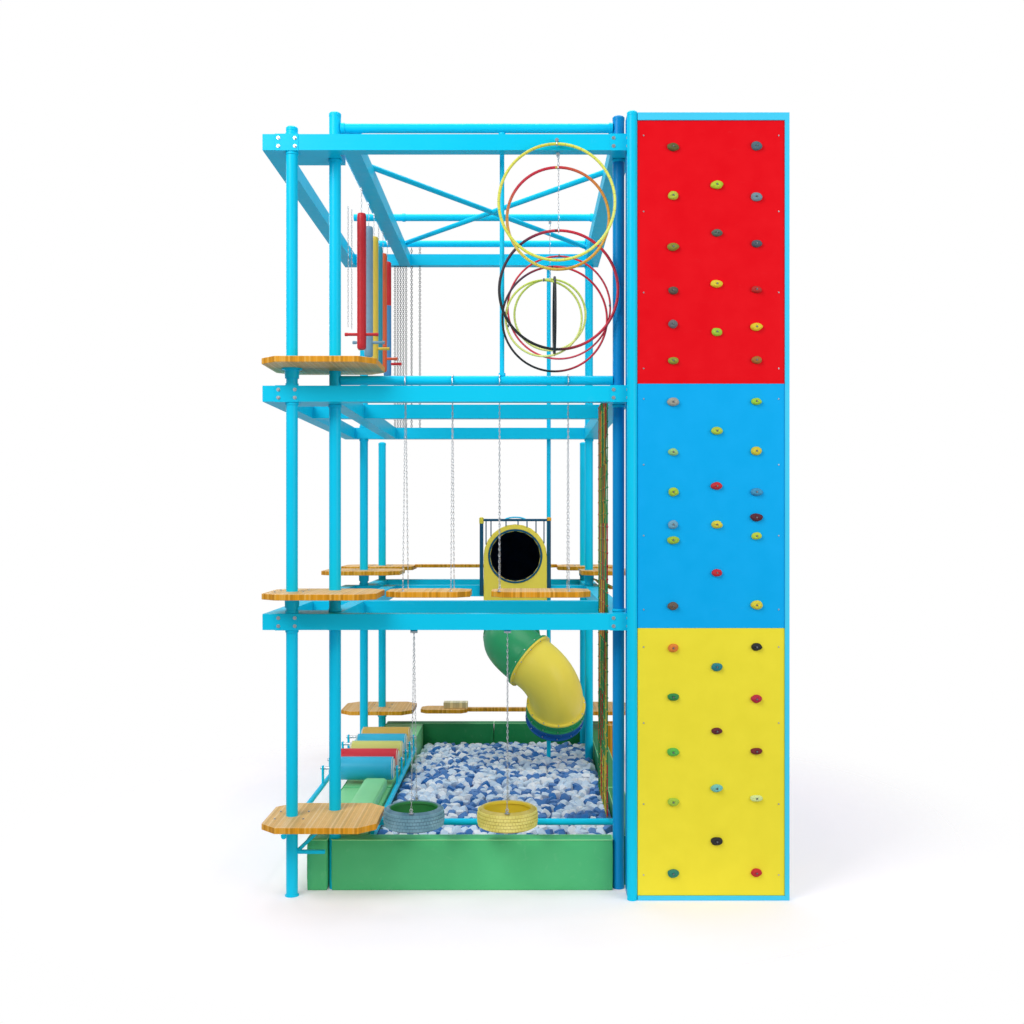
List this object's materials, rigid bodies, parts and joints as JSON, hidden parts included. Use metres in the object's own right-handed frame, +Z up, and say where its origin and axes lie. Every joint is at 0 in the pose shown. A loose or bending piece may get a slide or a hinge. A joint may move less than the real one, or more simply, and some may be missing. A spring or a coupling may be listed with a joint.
{
  "type": "climbing frame",
  "caption": "Three-storey steel climbing frame with climbing wall, padded foam pit, tube slide, rollers and hanging obstacles.",
  "frame": {"origin": "bottom centre of the bounding box, on the floor", "axes": "+Z up, +Y from the front with the wall and the tyres to the rear, +X to the climbing wall's side"},
  "size_m": [5.5, 7.54, 7.92],
  "materials": {
    "frame_blue": "gloss",
    "deep_blue": "gloss",
    "wood": "satin",
    "wall_red": "satin",
    "wall_blue": "satin",
    "wall_yellow": "satin",
    "pit_green": "satin",
    "foam": "matte",
    "slide_green": "gloss",
    "slide_yellow": "gloss",
    "slide_blue": "gloss",
    "guard_teal": "satin",
    "roller_blue": "satin",
    "roller_red": "satin",
    "roller_lime": "satin",
    "roller_tan": "satin",
    "tyre_teal": "matte",
    "tyre_yellow": "satin",
    "hoop_yellow": "satin",
    "hoop_red": "satin",
    "hoop_lime": "satin",
    "pad_grey": "satin",
    "pad_orange": "satin",
    "net_green": "matte"
  },
  "bodies": {
    "tower": {"front_left_outer_post": "frame_blue", "front_left_inner_post": "frame_blue", "front_right_post": "deep_blue", "rear_left_post": "frame_blue", "rear_right_post": "frame_blue", "back_left_post": "frame_blue", "back_right_post": "frame_blue", "top_beam_frame": "frame_blue", "upper_beam_frame": "frame_blue", "lower_beam_frame": "frame_blue", "roof_rails": "frame_blue", "upper_front_rail": "frame_blue", "tyre_rail": "frame_blue", "ground_front_board": "wood", "lower_front_board": "wood", "upper_front_board": "wood", "lower_rear_left_board": "wood", "lower_back_left_board": "wood", "ground_back_left_board": "wood", "lower_rear_right_board": "wood", "lower_back_right_board": "wood", "ground_back_right_board": "wood", "wall_left_post": "frame_blue", "wall_frame": "frame_blue", "wall_panel_red": "wall_red", "wall_panel_blue": "wall_blue", "wall_panel_yellow": "wall_yellow", "pit_front_pad": "pit_green", "pit_left_pad": "pit_green", "pit_right_pad": "pit_green", "pit_rear_pad": "pit_green", "foam_fill": "foam", "slide_top_bend": "slide_green", "slide_back_bend": "slide_green", "slide_upper_bend": "slide_green", "slide_tube": "slide_yellow", "slide_lower_section": "slide_green", "slide_exit": "slide_blue", "slide_panel": "slide_yellow", "slide_guard": "guard_teal", "roller_frame": "frame_blue", "rope_net": "net_green"},
    "turning_roller_1": {"roller_1": "roller_blue"},
    "turning_roller_2": {"roller_2": "roller_red"},
    "turning_roller_3": {"roller_3": "roller_lime"},
    "turning_roller_4": {"roller_4": "roller_blue"},
    "turning_roller_5": {"roller_5": "roller_tan"},
    "hanging_tyre_1": {"tyre_1": "tyre_teal"},
    "hanging_tyre_2": {"tyre_2": "tyre_yellow"},
    "hanging_plank_1": {"swing_plank_1": "wood"},
    "hanging_plank_2": {"swing_plank_2": "wood"},
    "hanging_hoop_1": {"hoop_1": "hoop_yellow"},
    "hanging_hoop_2": {"hoop_2": "hoop_lime"},
    "hanging_hoop_3": {"hoop_3": "hoop_red"},
    "hanging_hoop_4": {"hoop_4": "hoop_lime"},
    "hanging_pole_1": {"padded_pole_1": "roller_red"},
    "hanging_pole_2": {"padded_pole_2": "pad_grey"},
    "hanging_pole_3": {"padded_pole_3": "slide_yellow"},
    "hanging_pole_4": {"padded_pole_4": "pad_orange"},
    "hanging_pole_5": {"padded_pole_5": "roller_red"}
  },
  "joints": [
    {"name": "roller_1_spin", "type": "hinge", "parent": "tower", "child": "turning_roller_1", "pos_m": [-1.815, -0.71, 0.7], "axis": [1, 0, 0], "continuous": true},
    {"name": "roller_2_spin", "type": "hinge", "parent": "tower", "child": "turning_roller_2", "pos_m": [-1.875, -0.21, 0.7], "axis": [1, 0, 0], "continuous": true},
    {"name": "roller_3_spin", "type": "hinge", "parent": "tower", "child": "turning_roller_3", "pos_m": [-1.815, 0.29, 0.7], "axis": [1, 0, 0], "continuous": true},
    {"name": "roller_4_spin", "type": "hinge", "parent": "tower", "child": "turning_roller_4", "pos_m": [-1.815, 0.79, 0.7], "axis": [1, 0, 0], "continuous": true},
    {"name": "roller_5_spin", "type": "hinge", "parent": "tower", "child": "turning_roller_5", "pos_m": [-1.815, 1.29, 0.7], "axis": [1, 0, 0], "continuous": true},
    {"name": "tyre_1_swing", "type": "hinge", "parent": "tower", "child": "hanging_tyre_1", "pos_m": [-0.97, -3.31, 2.6397], "axis": [1, 0, 0], "range_deg": [-20, 20]},
    {"name": "tyre_2_swing", "type": "hinge", "parent": "tower", "child": "hanging_tyre_2", "pos_m": [-0.035, -3.31, 2.6397], "axis": [1, 0, 0], "range_deg": [-20, 20]},
    {"name": "plank_1_swing", "type": "hinge", "parent": "tower", "child": "hanging_plank_1", "pos_m": [-0.835, -3.07, 5.1107], "axis": [1, 0, 0], "range_deg": [-15, 15]},
    {"name": "plank_2_swing", "type": "hinge", "parent": "tower", "child": "hanging_plank_2", "pos_m": [0.3, -3.07, 5.1107], "axis": [1, 0, 0], "range_deg": [-15, 15]},
    {"name": "hoop_1_swing", "type": "hinge", "parent": "tower", "child": "hanging_hoop_1", "pos_m": [0.455, -3.43, 7.51], "axis": [0, 1, 0], "range_deg": [-8, 8]},
    {"name": "hoop_2_swing", "type": "hinge", "parent": "tower", "child": "hanging_hoop_2", "pos_m": [0.47, -3.31, 7.4097], "axis": [0, 1, 0], "range_deg": [-12, 12]},
    {"name": "hoop_3_swing", "type": "hinge", "parent": "tower", "child": "hanging_hoop_3", "pos_m": [0.48, -3.19, 7.51], "axis": [0, 1, 0], "range_deg": [-12, 12]},
    {"name": "hoop_4_swing", "type": "hinge", "parent": "tower", "child": "hanging_hoop_4", "pos_m": [0.47, 0.29, 7.6881], "axis": [0, 1, 0], "range_deg": [-15, 15]},
    {"name": "pole_1_swing", "type": "hinge", "parent": "tower", "child": "hanging_pole_1", "pos_m": [-1.8, -1.21, 7.6877], "axis": [0, 1, 0], "range_deg": [-15, 15]},
    {"name": "pole_2_swing", "type": "hinge", "parent": "tower", "child": "hanging_pole_2", "pos_m": [-1.8, -0.61, 7.6877], "axis": [0, 1, 0], "range_deg": [-15, 15]},
    {"name": "pole_3_swing", "type": "hinge", "parent": "tower", "child": "hanging_pole_3", "pos_m": [-1.8, -0.11, 7.6877], "axis": [0, 1, 0], "range_deg": [-15, 15]},
    {"name": "pole_4_swing", "type": "hinge", "parent": "tower", "child": "hanging_pole_4", "pos_m": [-1.8, 0.79, 7.6877], "axis": [0, 1, 0], "range_deg": [-15, 15]},
    {"name": "pole_5_swing", "type": "hinge", "parent": "tower", "child": "hanging_pole_5", "pos_m": [-1.8, 1.29, 7.6877], "axis": [0, 1, 0], "range_deg": [-15, 15]}
  ]
}
